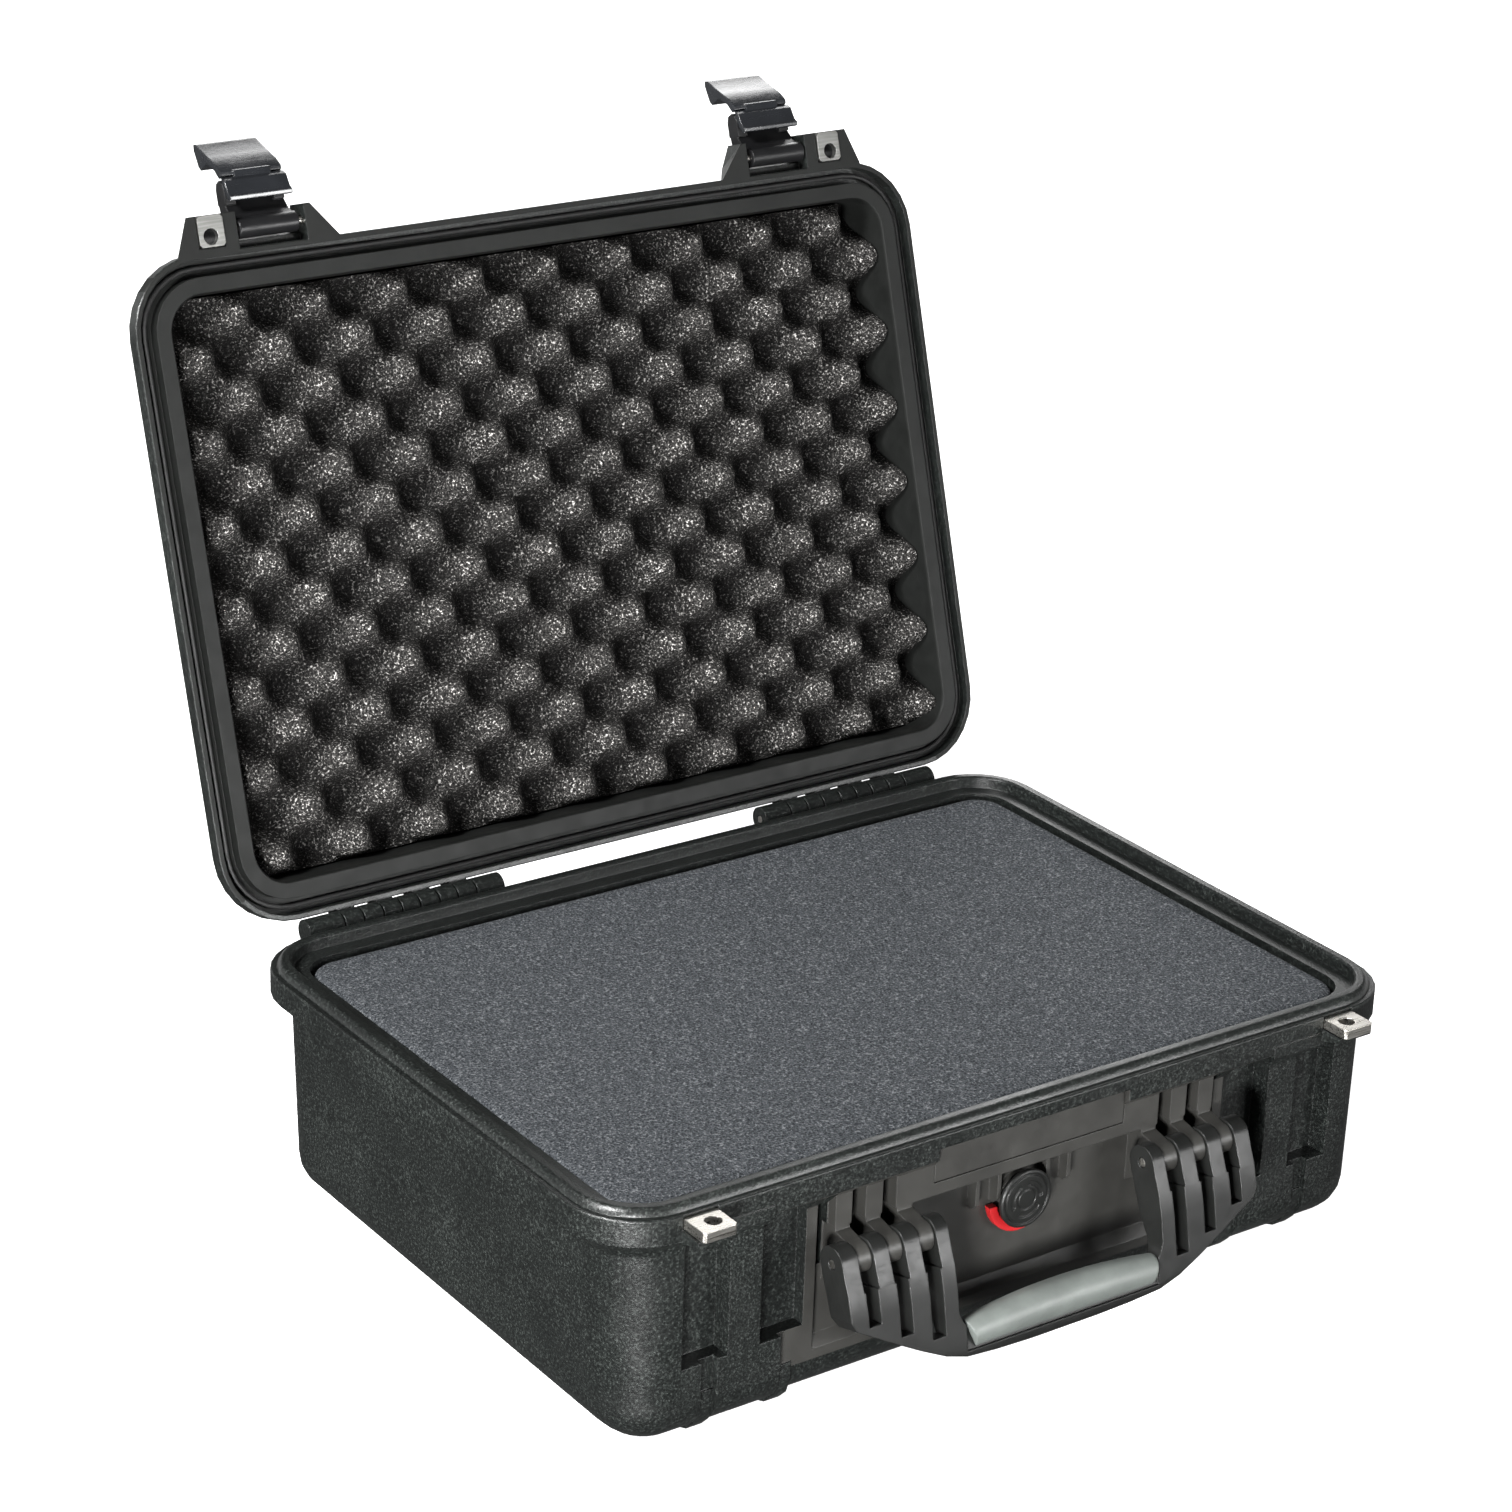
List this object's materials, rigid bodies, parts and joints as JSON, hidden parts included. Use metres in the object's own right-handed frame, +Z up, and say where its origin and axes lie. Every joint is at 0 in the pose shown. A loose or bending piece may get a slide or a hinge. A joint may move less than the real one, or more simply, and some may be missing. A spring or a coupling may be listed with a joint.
{
  "type": "hard equipment case",
  "caption": "Moulded hard equipment case with open hinged lid, fold-down grip handle, double-throw latches, pressure valve, padlock plates, pluck foam and convoluted lid foam.",
  "frame": {"origin": "on the floor, under the middle of the case's bounding box with its lid open as modelled", "axes": "+X along the case's length, to the right as seen from the front; -Y towards the handle and front; +Z up"},
  "size_m": [0.47, 0.5239, 0.4893],
  "materials": {
    "shell_plastic": "fine moulded texture, black with a grey-green sheen",
    "handle_plastic": "smooth satin black",
    "latch_plastic": "glossy black",
    "grip_rubber": "soft light grey over-moulding",
    "steel": "brushed stainless",
    "seal_rubber": "soft black",
    "red_rubber": "red",
    "dark_foam": "open-cell convoluted foam, black",
    "grey_foam": "open-cell pluck foam, mid grey"
  },
  "bodies": {
    "case": {"base_shell": "shell_plastic", "foam_bottom_pad": "grey_foam", "pluck_foam_lower": "grey_foam", "pluck_foam_upper": "grey_foam", "nameplate": "handle_plastic", "valve_body": "handle_plastic", "valve_o_ring": "red_rubber", "padlock_plate_base_left": "steel", "padlock_plate_base_right": "steel", "hinge_pin_left": "steel", "hinge_pin_right": "steel", "handle_pin_left": "steel", "handle_pin_right": "steel"},
    "lid": {"lid_shell": "shell_plastic", "lid_foam": "dark_foam", "lid_o_ring": "seal_rubber", "padlock_plate_lid_left": "steel", "padlock_plate_lid_right": "steel", "latch_lid_pin_left": "steel", "latch_lid_pin_right": "steel"},
    "link_left": {"latch_link_left": "latch_plastic", "latch_lever_pin_left": "steel"},
    "link_right": {"latch_link_right": "latch_plastic", "latch_lever_pin_right": "steel"},
    "lever_left": {"latch_lever_left": "latch_plastic"},
    "lever_right": {"latch_lever_right": "latch_plastic"},
    "handle": {"handle_frame": "handle_plastic", "handle_grip": "grip_rubber"},
    "valve": {"valve_knob": "handle_plastic"}
  },
  "joints": [
    {"name": "lid_hinge", "type": "hinge", "parent": "case", "child": "lid", "pos_m": [0, 0.1115, 0.1237], "axis": [1, 0, 0], "range_deg": [0, 107]},
    {"name": "handle_hinge", "type": "hinge", "parent": "case", "child": "handle", "pos_m": [0, -0.2355, 0.081], "axis": [-1, 0, 0], "range_deg": [-15, 80]},
    {"name": "valve_turn", "type": "hinge", "parent": "case", "child": "valve", "pos_m": [0, -0.222, 0.0745], "axis": [0, -1, 0], "range_deg": [0, 270]},
    {"name": "latch_link_left_hinge", "type": "hinge", "parent": "lid", "child": "link_left", "pos_m": [-0.154, 0.21971, 0.45609], "axis": [1, 0, 0], "range_deg": [0, 90]},
    {"name": "latch_lever_left_hinge", "type": "hinge", "parent": "link_left", "child": "lever_left", "pos_m": [-0.154, 0.23607, 0.47199], "axis": [1, 0, 0], "range_deg": [0, 28]},
    {"name": "latch_link_right_hinge", "type": "hinge", "parent": "lid", "child": "link_right", "pos_m": [0.154, 0.21971, 0.45609], "axis": [1, 0, 0], "range_deg": [0, 90]},
    {"name": "latch_lever_right_hinge", "type": "hinge", "parent": "link_right", "child": "lever_right", "pos_m": [0.154, 0.23607, 0.47199], "axis": [1, 0, 0], "range_deg": [0, 28]}
  ]
}
